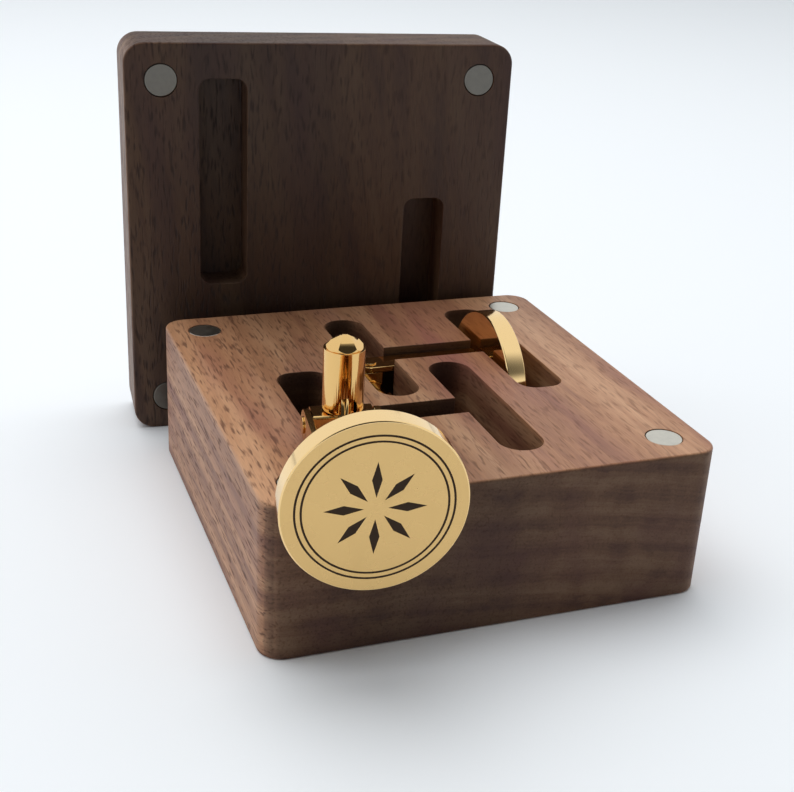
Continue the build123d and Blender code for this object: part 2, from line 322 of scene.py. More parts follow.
def walnut_colour(tree, grain, figure, fibre, shade):
    """The wood's own colour, without its pores."""
    settings = bpy.context.scene.cufflink_walnut
    wood = add(tree, "ShaderNodeValToRGB", {"Fac": figure.outputs["Value"]})
    ramp = wood.color_ramp.elements
    ramp[0].position = 0.44
    ramp[0].color = opaque(settings.light)
    ramp[1].position = 0.72
    ramp[1].color = opaque(settings.dark)
    middle = ramp.new(0.57)
    middle.color = opaque(settings.mean)

    # The violet cast comes and goes over a centimetre.
    wide = add(tree, "ShaderNodeMapping", {
        "Vector": grain.outputs["Vector"], "Scale": (0.13 / MM, 0.03 / MM, 0.13 / MM),
        "Location": (3.1, 7.7, 1.9)})
    cast = add(tree, "ShaderNodeTexNoise", {"Vector": wide.outputs["Vector"], "Scale": 1.0, "Detail": 2.0})
    violet = add(tree, "ShaderNodeMapRange", {
        "Value": cast.outputs["Fac"], "From Min": 0.48, "From Max": 0.72, "To Min": 0.0, "To Max": 0.75})
    heart = add(tree, "ShaderNodeMix", {
        "Factor": violet.outputs["Result"], 6: wood.outputs["Color"], 7: opaque(settings.violet),
    }, data_type="RGBA")

    fibre_shade = add(tree, "ShaderNodeMapRange", {
        "Value": fibre.outputs["Fac"], "From Min": 0.3, "From Max": 0.7,
        "To Min": 0.88 * shade, "To Max": 1.1 * shade})
    return add(tree, "ShaderNodeVectorMath", {
        0: heart.outputs[2], 1: fibre_shade.outputs["Result"]}, operation="MULTIPLY")


def walnut_pores(tree, grain, swayed, board):
    """Pores: dark dashes along the side grain, which thin out towards the board's right."""
    settings = bpy.context.scene.cufflink_walnut
    dashes = add(tree, "ShaderNodeMapping", {
        "Vector": swayed.outputs["Vector"],
        "Scale": (1 / settings.pore_width, 1 / settings.pore_length, 1 / settings.pore_width)})
    dash = add(tree, "ShaderNodeTexNoise", {
        "Vector": dashes.outputs["Vector"], "Scale": 1.0, "Detail": 1.0, "Roughness": 0.4})
    across = add(tree, "ShaderNodeSeparateXYZ", {"Vector": grain.outputs["Vector"]})
    middle = board["shift"][0]
    crowd = add(tree, "ShaderNodeMapRange", {
        "Value": across.outputs["X"], "From Min": middle - 12 * MM, "From Max": middle + 14 * MM,
        "To Min": board["pores"], "To Max": 0.5 * board["pores"]})
    return add(tree, "ShaderNodeMapRange", {
        "Value": dash.outputs["Fac"], "From Min": 0.53, "From Max": 0.72,
        "To Min": 0.0, "To Max": crowd.outputs["Result"]})


def painted_pocket_shade(tree, place, half, pocket):
    """1 on the block's skin, and pocket past it, where there are only the pockets: a painted shade in them.
    """
    low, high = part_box(f"{half}_block")
    from_middle = add(tree, "ShaderNodeVectorMath", {
        0: place.outputs["Object"], 1: (low + high) / 2}, operation="SUBTRACT")
    away = add(tree, "ShaderNodeVectorMath", {0: from_middle.outputs["Vector"]}, operation="ABSOLUTE")
    below = add(tree, "ShaderNodeVectorMath", {
        0: (high - low) / 2, 1: away.outputs["Vector"]}, operation="SUBTRACT")
    skin = add(tree, "ShaderNodeSeparateXYZ", {"Vector": below.outputs["Vector"]})
    sideways = add(tree, "ShaderNodeMath", {0: skin.outputs["X"], 1: skin.outputs["Y"]}, operation="MINIMUM")
    deep = add(tree, "ShaderNodeMath", {0: sideways.outputs["Value"], 1: skin.outputs["Z"]},
               operation="MINIMUM")
    skin_depth, pocket_depth = POCKET_DEPTH
    return add(tree, "ShaderNodeMapRange", {
        "Value": deep.outputs["Value"], "From Min": skin_depth, "From Max": pocket_depth,
        "To Min": 1.0, "To Max": pocket})


def walnut_tone(tree, place, swayed, end_grain, half, board):
    """Each spot's brightness: end grain's oil, the bands, and painted shade in front and in pockets."""
    soaked = add(tree, "ShaderNodeMapRange", {
        "Value": end_grain.outputs["Result"], "To Min": 1.0, "To Max": END_GRAIN_TONE})
    # front darkens the faces that look forward: a painted shade.
    sides = add(tree, "ShaderNodeSeparateXYZ", {"Vector": place.outputs["Normal"]})
    oiled = add(tree, "ShaderNodeMapRange", {
        "Value": sides.outputs["Y"], "From Min": -0.95, "From Max": -0.6,
        "To Min": board["front"], "To Max": 1.0})
    wandering = add(tree, "ShaderNodeSeparateXYZ", {"Vector": swayed.outputs["Vector"]})
    middle = board["shift"][0]
    breadth = add(tree, "ShaderNodeMapRange", {
        "Value": wandering.outputs["X"], "From Min": middle - 24 * MM, "From Max": middle + 26 * MM})
    bands = add(tree, "ShaderNodeValToRGB", {"Fac": breadth.outputs["Result"]})
    bands.color_ramp.interpolation = "EASE"
    for position in BAND_PLACES[1:-1]:
        bands.color_ramp.elements.new(position)
    for stop, level in zip(bands.color_ramp.elements, BAND_TONES):
        stop.color = opaque((level, level, level))
    lifted = add(tree, "ShaderNodeMath", {0: bands.outputs["Color"], 1: BAND_LIFT}, operation="MULTIPLY")
    tone = add(tree, "ShaderNodeMath", {0: soaked.outputs["Result"], 1: oiled.outputs["Result"]},
               operation="MULTIPLY")
    # The pockets' walls and floors take a painted shade.
    pocket_painted_shade = painted_pocket_shade(tree, place, half, board["pocket"])
    pocket_shaded_tone = add(tree, "ShaderNodeMath", {0: tone.outputs["Value"], 1: pocket_painted_shade.outputs["Result"]},
                   operation="MULTIPLY")
    return add(tree, "ShaderNodeMath", {0: pocket_shaded_tone.outputs["Value"], 1: lifted.outputs["Value"]},
               operation="MULTIPLY")


def oiled_walnut(name, half, shade):
    """Black walnut, sanded and oiled: a solid figure, streaked on side grain and banded on end grain.

    shade is how bright this half's board is drawn; for the lid it is a painted shade over the whole board.
    """
    settings = bpy.context.scene.cufflink_walnut
    board = BOARDS[half]
    material, tree, shader = new_material(name)
    place = add(tree, "ShaderNodeTexCoord")
    grain = add(tree, "ShaderNodeMapping", {
        "Vector": place.outputs["Object"], "Rotation": board["turn"], "Location": board["shift"],
    }, vector_type="POINT")
    figure, streak = walnut_figure(tree, grain)

    # Fibres, about a tenth of a millimetre wide.
    fine = add(tree, "ShaderNodeMapping", {
        "Vector": grain.outputs["Vector"], "Scale": (6.5 / MM, 0.3 / MM, 6.5 / MM)})
    fibre = add(tree, "ShaderNodeTexNoise", {
        "Vector": fine.outputs["Vector"], "Scale": 1.0, "Detail": 3.0, "Roughness": 0.6})
    plain = walnut_colour(tree, grain, figure, fibre, shade)

    # The pores and bands sway with the streaks.
    swayed = add(tree, "ShaderNodeVectorMath", {
        0: streak.outputs["Color"], 1: (1.5 * MM, 3.0 * MM, 1.5 * MM), 2: grain.outputs["Vector"],
    }, operation="MULTIPLY_ADD")
    pore = walnut_pores(tree, grain, swayed, board)

    # End grain cuts across the pores and drinks more oil: darker and duller, with few dots.
    turned = add(tree, "ShaderNodeMapping", {
        "Vector": place.outputs["Normal"], "Rotation": board["turn"]}, vector_type="VECTOR")
    facing = add(tree, "ShaderNodeSeparateXYZ", {"Vector": turned.outputs["Vector"]})
    end = add(tree, "ShaderNodeMath", {0: facing.outputs["Y"]}, operation="ABSOLUTE")
    end_grain = add(tree, "ShaderNodeMapRange", {
        "Value": end.outputs["Value"], "From Min": 0.55, "From Max": 0.95})
    filled = add(tree, "ShaderNodeMapRange", {
        "Value": end_grain.outputs["Result"], "To Min": 1.0, "To Max": 0.4})
    shown = add(tree, "ShaderNodeMath", {0: pore.outputs["Result"], 1: filled.outputs["Result"]},
                operation="MULTIPLY")
    pored = add(tree, "ShaderNodeMix", {
        "Factor": shown.outputs["Value"], 6: plain.outputs["Vector"],
        7: opaque([shade * channel for channel in settings.pore]),
    }, data_type="RGBA")
    tone = walnut_tone(tree, place, swayed, end_grain, half, board)
    colour = add(tree, "ShaderNodeVectorMath", {
        0: pored.outputs[2], 1: tone.outputs["Value"]}, operation="MULTIPLY")

    dull = add(tree, "ShaderNodeMapRange", {
        "Value": end_grain.outputs["Result"], "To Min": settings.roughness,
        "To Max": settings.roughness + 0.16})
    rough = add(tree, "ShaderNodeMath", {
        0: pore.outputs["Result"], 1: 0.25, 2: dull.outputs["Result"]}, operation="MULTIPLY_ADD")
    relief = add(tree, "ShaderNodeMath", {0: pore.outputs["Result"], 1: -1.6, 2: fibre.outputs["Fac"]},
                 operation="MULTIPLY_ADD")
    bump = add(tree, "ShaderNodeBump", {
        "Height": relief.outputs["Value"], "Strength": 0.4, "Distance": 0.04 * MM})
    shader.inputs["Specular IOR Level"].default_value = 0.36
    tree.links.new(colour.outputs["Vector"], shader.inputs["Base Color"])
    tree.links.new(rough.outputs["Value"], shader.inputs["Roughness"])
    tree.links.new(bump.outputs["Normal"], shader.inputs["Normal"])
    return material


# ---- Metals, engraving and floor -----------------------------------------------------------------
# The marks that each finish leaves in the gold: how far apart they are, and how deep.
LAPPED_PITCH = 0.12 * MM
BUFFED_PITCH = 0.5 * MM
SCRATCH_DEPTH = 0.002 * MM


def gold_plate(name, colour, roughness, scratch_pitch):
    """Gold plate on brass, buffed or lapped: a coloured mirror with the marks of its last wheel."""
    material, tree, shader = new_material(name)
    shader.inputs["Base Color"].default_value = opaque(colour)
    shader.inputs["Metallic"].default_value = 1.0
    place = add(tree, "ShaderNodeTexCoord")
    marks = add(tree, "ShaderNodeMapping", {
        "Vector": place.outputs["Object"],
        "Scale": (0.25 / scratch_pitch, 0.25 / scratch_pitch, 1 / scratch_pitch)})
    scratch = add(tree, "ShaderNodeTexNoise", {
        "Vector": marks.outputs["Vector"], "Scale": 1.0, "Detail": 2.0, "Roughness": 0.5})
    # Handling leaves patches a few millimetres wide that are a little duller.
    patch = add(tree, "ShaderNodeTexNoise", {
        "Vector": place.outputs["Object"], "Scale": 0.35 / MM, "Detail": 2.0})
    spread = add(tree, "ShaderNodeMapRange", {
        "Value": patch.outputs["Fac"], "From Min": 0.3, "From Max": 0.7,
        "To Min": roughness * 0.85, "To Max": roughness * 1.2})
    bump = add(tree, "ShaderNodeBump", {
        "Height": scratch.outputs["Fac"], "Strength": 0.3, "Distance": SCRATCH_DEPTH})
    tree.links.new(spread.outputs["Result"], shader.inputs["Roughness"])
    tree.links.new(bump.outputs["Normal"], shader.inputs["Normal"])
    return material


def laser_darkened(name):
    """Oxide that a marking laser leaves on the floor of a groove: dark brown and matte."""
    settings = bpy.context.scene.cufflink_engraving
    material, tree, shader = new_material(name)
    shader.inputs["Specular IOR Level"].default_value = 0.25
    place = add(tree, "ShaderNodeTexCoord")
    passes = add(tree, "ShaderNodeTexNoise", {
        "Vector": place.outputs["Object"], "Scale": 5 / MM, "Detail": 3.0})
    shade = add(tree, "ShaderNodeMapRange", {"Value": passes.outputs["Fac"], "To Min": 0.7, "To Max": 1.3})
    colour = add(tree, "ShaderNodeVectorMath", {
        0: settings.colour, 1: shade.outputs["Result"]}, operation="MULTIPLY")
    rough = add(tree, "ShaderNodeMapRange", {"Value": passes.outputs["Fac"], "To Min": 0.5, "To Max": 0.7})
    tree.links.new(colour.outputs["Vector"], shader.inputs["Base Color"])
    tree.links.new(rough.outputs["Result"], shader.inputs["Roughness"])
    return material


def barrel_plated_nickel(name, colour):
    """Nickel plated in a tumbling barrel: a dull silver-grey with a faint mottle."""
    settings = bpy.context.scene.cufflink_magnet
    material, tree, shader = new_material(name)
    shader.inputs["Metallic"].default_value = 1.0
    place = add(tree, "ShaderNodeTexCoord")
    mottle = add(tree, "ShaderNodeTexNoise", {
        "Vector": place.outputs["Object"], "Scale": 1.3 / MM, "Detail": 4.0, "Roughness": 0.6})
    shade = add(tree, "ShaderNodeMapRange", {
        "Value": mottle.outputs["Fac"], "From Min": 0.3, "From Max": 0.7, "To Min": 0.9, "To Max": 1.06})
    mottled = add(tree, "ShaderNodeVectorMath", {
        0: colour, 1: shade.outputs["Result"]}, operation="MULTIPLY")
    rough = add(tree, "ShaderNodeMapRange", {
        "Value": mottle.outputs["Fac"], "From Min": 0.3, "From Max": 0.7,
        "To Min": settings.roughness - 0.06, "To Max": settings.roughness + 0.08})
    bump = add(tree, "ShaderNodeBump", {
        "Height": mottle.outputs["Fac"], "Strength": 0.2, "Distance": 0.01 * MM})
    tree.links.new(mottled.outputs["Vector"], shader.inputs["Base Color"])
    tree.links.new(rough.outputs["Result"], shader.inputs["Roughness"])
    tree.links.new(bump.outputs["Normal"], shader.inputs["Normal"])
    return material


def seen_rays(tree):
    """1 for the rays that show the background: straight, mirrored or through glass."""
    ray = add(tree, "ShaderNodeLightPath")
    direct = add(tree, "ShaderNodeMath", {
        0: ray.outputs["Is Camera Ray"], 1: ray.outputs["Is Glossy Ray"]}, operation="MAXIMUM")
    seen = add(tree, "ShaderNodeMath", {
        0: direct.outputs["Value"], 1: ray.outputs["Is Transmission Ray"]}, operation="MAXIMUM")
    return seen.outputs["Value"]


def matte_paper(name):
    """White paper: matte, with the faintest tooth. In front it lights the object less."""
    settings = bpy.context.scene.cufflink_stage
    material, tree, shader = new_material(name)
    shader.inputs["Roughness"].default_value = 0.6
    place = add(tree, "ShaderNodeTexCoord")
    spot = add(tree, "ShaderNodeSeparateXYZ", {"Vector": place.outputs["Object"]})
    lit = add(tree, "ShaderNodeMapRange", {
        "Value": spot.outputs["Y"], "From Min": settings.floor_dim_end, "From Max": settings.floor_dim_start,
        "To Min": settings.floor_dim, "To Max": 1.0}, interpolation_type="SMOOTHSTEP")
    level = add(tree, "ShaderNodeMath", {0: lit.outputs["Result"], 1: seen_rays(tree)},
                operation="MAXIMUM")
    colour = add(tree, "ShaderNodeVectorMath", {
        0: settings.floor, 1: level.outputs["Value"]}, operation="MULTIPLY")
    tree.links.new(colour.outputs["Vector"], shader.inputs["Base Color"])
    tooth = add(tree, "ShaderNodeTexNoise", {"Vector": place.outputs["Object"], "Scale": 0.5 / MM})
    bump = add(tree, "ShaderNodeBump", {
        "Height": tooth.outputs["Fac"], "Strength": 0.1, "Distance": 0.02 * MM})
    tree.links.new(bump.outputs["Normal"], shader.inputs["Normal"])
    return material


# ---- Softened copies of the model's solids -------------------------------------------------------
def merged_copy(node):
    """The node's surface as one closed mesh with flat faces whole."""
    shape = bmesh.new()
    shape.from_mesh(frame["nodes"][node].data)
    bmesh.ops.remove_doubles(shape, verts=shape.verts, dist=0.001 * MM)
    bmesh.ops.dissolve_limit(
        shape, angle_limit=math.radians(0.4), verts=shape.verts, edges=shape.edges)
    return shape


def sharp_convex(edge, limit):
    """True where two faces meet outwards by more than limit."""
    return len(edge.link_faces) == 2 and edge.is_convex and edge.calc_face_angle() > limit


def softened(node, name, width, limit, wanted=None):
    """A copy of the node with its sharp outer edges rounded by width."""
    shape = merged_copy(node)
    weight = shape.edges.layers.float.new("bevel_weight_edge")
    for edge in shape.edges:
        chosen = sharp_convex(edge, limit) and (wanted is None or wanted(edge))
        edge[weight] = 1.0 if chosen else 0.0
    mesh = bpy.data.meshes.new(name)
    shape.to_mesh(mesh)
    shape.free()
    piece = bpy.data.objects.new(name, mesh)
    bpy.context.scene.collection.objects.link(piece)
    bevel = piece.modifiers.new("Rounding", "BEVEL")
    bevel.width = width
    bevel.segments = 2
    bevel.limit_method = "WEIGHT"
    bevel.use_clamp_overlap = True
    return baked(piece, math.radians(32))


def applied(piece):
    """The piece with its modifiers made part of its mesh."""
    bpy.context.view_layer.update()
    evaluated = piece.evaluated_get(bpy.context.evaluated_depsgraph_get())
    piece.data = bpy.data.meshes.new_from_object(evaluated)
    piece.modifiers.clear()
    return piece


def baked(piece, smooth_angle):
    """The piece as a plain mesh, its round faces shaded smooth and its flat faces kept flat."""
    applied(piece)
    piece.data.shade_smooth()
    piece.data.set_sharp_from_angle(angle=smooth_angle)
    flat = piece.modifiers.new("Flat faces", "WEIGHTED_NORMAL")
    flat.keep_sharp = True
    flat.weight = 100
    return applied(piece)


def fit(piece, material, body, nodes):
    """Puts the piece in place of its nodes, on its body, with its finish."""
    piece.data.materials.clear()
    piece.data.materials.append(material)
    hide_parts(*nodes)
    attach(piece, body)


# ---- Where a cufflink's disc is, from its node and its pin's joint -------------------------------
# An edge this near to a disc's outside belongs to its rim.
RIM_REACH = 0.3 * MM
# The darkened skin lies this far above the groove's floor.
SKIN_LIFT = 0.003 * MM


def disc_place(cufflink):
    """The disc's centre, the way its face looks, and its thickness and radius."""
    low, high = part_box(f"{cufflink}_disc")
    centre = (low + high) / 2
    joint = next(j for j in frame["joints"] if j["name"] == PIN_JOINTS[cufflink])
    facing = (centre - Vector(joint["pos_m"])).normalized()
    # The discs are alike, and the rear one stands square to X, so its box gives both their sizes.
    flat_low, flat_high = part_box("rear_disc")
    return centre, facing, flat_high.x - flat_low.x, (flat_high.z - flat_low.z) / 2


# ---- Geometry trees ------------------------------------------------------------------------------
def new_tree(name, inputs):
    """A geometry tree with named inputs, and its group input and output nodes."""
    tree = bpy.data.node_groups.new(name, "GeometryNodeTree")
    tree.interface.new_socket("Geometry", in_out="INPUT", socket_type="NodeSocketGeometry")
    for label, kind in inputs:
        tree.interface.new_socket(label, in_out="INPUT", socket_type=kind)
    tree.interface.new_socket("Geometry", in_out="OUTPUT", socket_type="NodeSocketGeometry")
    return tree, tree.nodes.new("NodeGroupInput"), tree.nodes.new("NodeGroupOutput")


def finish_tree(tree, geometry, material, output):
    """Every tree ends in whole meshes with their material set."""
    whole = add(tree, "GeometryNodeRealizeInstances", {"Geometry": geometry})
    dressed = add(tree, "GeometryNodeSetMaterial", {"Geometry": whole.outputs[0], "Material": material})
    tree.links.new(dressed.outputs[0], output.inputs[0])


def apply_tree(piece, tree, values):
    """Adds the tree to the piece with its inputs set."""
    modifier = piece.modifiers.new(tree.name, "NODES")
    modifier.node_group = tree
    for item in tree.interface.items_tree:
        if item.in_out == "INPUT" and item.name in values:
            modifier[item.identifier] = values[item.name]


def rosette_tree():
    """Petals round a centre and rings round the petals, as thin closed plates from z = 0 up."""
    tree, given, output = new_tree("Engraved rosette", [
        ("Petals", "NodeSocketInt"), ("Petal Length", "NodeSocketFloat"),
        ("Petal Width", "NodeSocketFloat"), ("Petal Middle", "NodeSocketFloat"),
        ("Rings", "NodeSocketInt"), ("Ring Radius", "NodeSocketFloat"),
        ("Ring Width", "NodeSocketFloat"), ("Ring Pitch", "NodeSocketFloat"),
        ("Thickness", "NodeSocketFloat"), ("Material", "NodeSocketMaterial")])
    value = given.outputs

    half_length = add(tree, "ShaderNodeMath", {0: value["Petal Length"], 1: 0.5}, operation="MULTIPLY")
    rhomb = add(tree, "GeometryNodeCurvePrimitiveQuadrilateral", {
        "Width": value["Petal Width"], "Bottom Height": half_length.outputs[0],
        "Top Height": half_length.outputs[0]}, mode="KITE")
    filled = add(tree, "GeometryNodeFillCurve", {"Curve": rhomb.outputs[0]}, mode="NGONS")
    raised = add(tree, "GeometryNodeExtrudeMesh", {
        "Mesh": filled.outputs[0], "Offset Scale": value["Thickness"], "Individual": False}, mode="FACES")
    under = add(tree, "GeometryNodeFlipFaces", {"Mesh": filled.outputs[0]})
    solid = add(tree, "GeometryNodeJoinGeometry")
    tree.links.new(under.outputs[0], solid.inputs[0])
    tree.links.new(raised.outputs["Mesh"], solid.inputs[0])
    closed = add(tree, "GeometryNodeMergeByDistance", {
        "Geometry": solid.outputs[0], "Distance": 0.0005 * MM})
    middle = add(tree, "ShaderNodeCombineXYZ", {"Y": value["Petal Middle"]})
    petal = add(tree, "GeometryNodeTransform", {
        "Geometry": closed.outputs[0], "Translation": middle.outputs[0]})

    centres = add(tree, "GeometryNodePoints", {"Count": value["Petals"]})
    index = add(tree, "GeometryNodeInputIndex")
    step = add(tree, "ShaderNodeMath", {0: math.tau, 1: value["Petals"]}, operation="DIVIDE")
    angle = add(tree, "ShaderNodeMath", {0: index.outputs[0], 1: step.outputs[0]}, operation="MULTIPLY")
    turn = add(tree, "ShaderNodeCombineXYZ", {"Z": angle.outputs[0]})
    petals = add(tree, "GeometryNodeInstanceOnPoints", {
        "Points": centres.outputs[0], "Instance": petal.outputs[0], "Rotation": turn.outputs[0]})

    circle = add(tree, "GeometryNodeCurvePrimitiveCircle", {"Resolution": 128, "Radius": 1.0})
    copies = add(tree, "GeometryNodeDuplicateElements", {
        "Geometry": circle.outputs[0], "Amount": value["Rings"]}, domain="SPLINE")
    inward = add(tree, "ShaderNodeMath", {
        0: copies.outputs["Duplicate Index"], 1: value["Ring Pitch"]}, operation="MULTIPLY")
    radius = add(tree, "ShaderNodeMath", {
        0: value["Ring Radius"], 1: inward.outputs[0]}, operation="SUBTRACT")
    position = add(tree, "GeometryNodeInputPosition")
    sized = add(tree, "ShaderNodeVectorMath", {
        0: position.outputs[0], "Scale": radius.outputs[0]}, operation="SCALE")
    placed = add(tree, "GeometryNodeSetPosition", {
        "Geometry": copies.outputs["Geometry"], "Position": sized.outputs[0]})
    level = add(tree, "GeometryNodeSetCurveNormal", {"Curve": placed.outputs[0]}, mode="Z_UP")
    section = add(tree, "GeometryNodeCurvePrimitiveQuadrilateral", {
        "Width": value["Ring Width"], "Height": value["Thickness"]}, mode="RECTANGLE")
    half = add(tree, "ShaderNodeMath", {0: value["Thickness"], 1: 0.5}, operation="MULTIPLY")
    lift = add(tree, "ShaderNodeCombineXYZ", {"Z": half.outputs[0]})
    swept = add(tree, "GeometryNodeCurveToMesh", {
        "Curve": level.outputs[0], "Profile Curve": section.outputs[0]})
    rings = add(tree, "GeometryNodeTransform", {
        "Geometry": swept.outputs[0], "Translation": lift.outputs[0]})

    together = add(tree, "GeometryNodeJoinGeometry")
    tree.links.new(petals.outputs[0], together.inputs[0])
    tree.links.new(rings.outputs[0], together.inputs[0])
    finish_tree(tree, together.outputs[0], value["Material"], output)
    return tree


def magnet_tree():
    """A plain cylinder along an axis at each point."""
    tree, given, output = new_tree("Disc magnets", [
        ("Radius", "NodeSocketFloat"), ("Length", "NodeSocketFloat"),
        ("Axis", "NodeSocketVector"), ("Material", "NodeSocketMaterial")])
    value = given.outputs
    cylinder = add(tree, "GeometryNodeMeshCylinder", {
        "Vertices": 72, "Radius": value["Radius"], "Depth": value["Length"]})
    lean = add(tree, "FunctionNodeAlignRotationToVector", {"Vector": value["Axis"]}, axis="Z")
    magnets = add(tree, "GeometryNodeInstanceOnPoints", {
        "Points": value["Geometry"], "Instance": cylinder.outputs["Mesh"], "Rotation": lean.outputs[0]})
    finish_tree(tree, magnets.outputs[0], value["Material"], output)
    return tree


# ---- Operators -----------------------------------------------------------------------------------
class CUFFLINK_OT_walnut(bpy.types.Operator):
    """Make the two walnut halves"""

    bl_idname = "cufflink.walnut"
    bl_label = "Walnut halves"

    def execute(self, context):
        settings = context.scene.cufflink_walnut
        woods = {
            "base": oiled_walnut("Oiled black walnut, base", "base", 1.0),
            # The lid's board takes a painted shade that darkens it as a whole.
            "lid": oiled_walnut("Oiled black walnut, lid", "lid", settings.lid_painted_shade),
        }
        for half in HALVES:
            piece = softened(f"{half}_block", f"{half}_walnut", settings.ease, math.radians(50))
            fit(piece, woods[half], half, [f"{half}_block"])
        return {"FINISHED"}


class CUFFLINK_OT_magnets(bpy.types.Operator):
    """Make the magnets of both halves"""

    bl_idname = "cufflink.magnets"
    bl_label = "Magnets"

    def execute(self, context):
        settings = context.scene.cufflink_magnet
        nickels = {
            "base": barrel_plated_nickel("Barrel-plated nickel", settings.nickel),
            # The lid's nickel is darker: a painted shade with a painted dark reflection.
            "lid": barrel_plated_nickel("Barrel-plated nickel with painted shade", settings.lid_nickel_painted_shade),
        }
        tree = magnet_tree()
        low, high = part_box("base_magnet_front_left")
        for half in HALVES:
            nodes = [f"{half}_magnet_{corner}" for corner in CORNERS]
            centres = [sum(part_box(node), Vector()) / 2 for node in nodes]
            across = centres[1] - centres[0]
            along = centres[2] - centres[0]
            mesh = bpy.data.meshes.new(f"{half}_magnets")
            mesh.from_pydata(centres, [], [])
            piece = bpy.data.objects.new(f"{half}_magnets", mesh)
            context.scene.collection.objects.link(piece)
            apply_tree(piece, tree, {
                "Radius": (high.x - low.x) / 2, "Length": high.z - low.z,
                "Axis": across.cross(along).normalized(), "Material": nickels[half]})
            rounding = piece.modifiers.new("Rounding", "BEVEL")
            rounding.width = settings.edge
            rounding.segments = 3
            rounding.limit_method = "ANGLE"
            rounding.angle_limit = math.radians(40)
            fit(baked(piece, math.radians(35)), nickels[half], half, nodes)
        return {"FINISHED"}


class CUFFLINK_OT_discs(bpy.types.Operator):
    """Make the engraved discs"""

    bl_idname = "cufflink.discs"
    bl_label = "Engraved discs"

    def execute(self, context):
        gold = context.scene.cufflink_gold
        # The face's gold is deeper than the rim's: a painted shade.
        satin = gold_plate("Satin gold plate, painted shade", gold.lapped, gold.satin, LAPPED_PITCH)
        # The rim's gold is paler than the fittings': a painted highlight.
        polished = gold_plate("Polished gold plate, rim, painted highlight", gold.turned, gold.polish, BUFFED_PITCH)
        for cufflink in CUFFLINKS:
            centre, facing, thickness, radius = disc_place(cufflink)

            def at_rim(edge):
                middle = (edge.verts[0].co + edge.verts[1].co) / 2 - centre
                return (middle - middle.dot(facing) * facing).length > radius - RIM_REACH

            piece = softened(f"{cufflink}_disc", f"{cufflink}_disc_gold", gold.edge, math.radians(30), at_rim)
            fit(piece, polished, f"{cufflink}_head", [f"{cufflink}_disc"])
            piece.data.materials.append(satin)
            # The lapped face and the engraving's floors look straight the disc's way.
            for face in piece.data.polygons:
                face.material_index = 1 if face.normal.dot(facing) > 0.999 else 0
        return {"FINISHED"}


class CUFFLINK_OT_engraving(bpy.types.Operator):
    """Darken the floors of the engraving"""

    bl_idname = "cufflink.engraving"
    bl_label = "Engraving"

    def execute(self, context):
        settings = context.scene.cufflink_engraving
        dark = laser_darkened("Laser-darkened groove")
        tree = rosette_tree()
        for cufflink in CUFFLINKS:
            centre, facing, thickness, radius = disc_place(cufflink)
            mesh = bpy.data.meshes.new(f"{cufflink}_engraving")
            piece = bpy.data.objects.new(f"{cufflink}_engraving", mesh)
            context.scene.collection.objects.link(piece)
            margin = 2 * settings.margin
            apply_tree(piece, tree, {
                "Petals": settings.petals,
                "Petal Length": settings.petal_end - settings.petal_start - 4 * margin,
                "Petal Width": settings.petal_width - margin,
                "Petal Middle": (settings.petal_start + settings.petal_end) / 2,
                "Rings": settings.rings,
                "Ring Radius": radius - settings.ring_inset - settings.ring_width / 2,
                "Ring Width": settings.ring_width - margin,
                "Ring Pitch": settings.ring_pitch,
                "Thickness": settings.depth / 3,
                "Material": dark})
            baked(piece, math.radians(30))
            floor = centre + facing * (thickness / 2 - settings.depth + SKIN_LIFT)
            up = Vector((0, 0, 1))
            side = up.cross(facing).normalized()
            turn = Matrix((side, facing.cross(side), facing)).transposed().to_4x4()
            piece.data.transform(Matrix.Translation(floor) @ turn)
            piece.data.materials.clear()
            piece.data.materials.append(dark)
            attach(piece, f"{cufflink}_head")
        return {"FINISHED"}


class CUFFLINK_OT_fittings(bpy.types.Operator):
    """Make the forks, pins, hubs, barrels and caps"""

    bl_idname = "cufflink.fittings"
    bl_label = "Forks and toggles"

    def execute(self, context):
        gold = context.scene.cufflink_gold
        polished = gold_plate("Polished gold plate", gold.plate, gold.polish, BUFFED_PITCH)
        for cufflink in CUFFLINKS:
            for part, (body, share) in FITTINGS.items():
                node = f"{cufflink}_{part}"
                piece = softened(node, f"{node}_gold", share * gold.edge, math.radians(28))
                fit(piece, polished, f"{cufflink}_{body}", [node])
        return {"FINISHED"}


# The Y of a direction where the light starts to dim towards the front, and where it is whole.
DIM_FRONT = (-0.42, 0.15)
# The dark ceiling: the way to its middle, the cosines at its soft edge, and the Z where it starts.
CEILING_WAY = Vector((-0.15, -0.8, 0.6)).normalized()
CEILING_EDGE = (0.7, 0.88)
CEILING_HEIGHT = (0.3, 0.5)


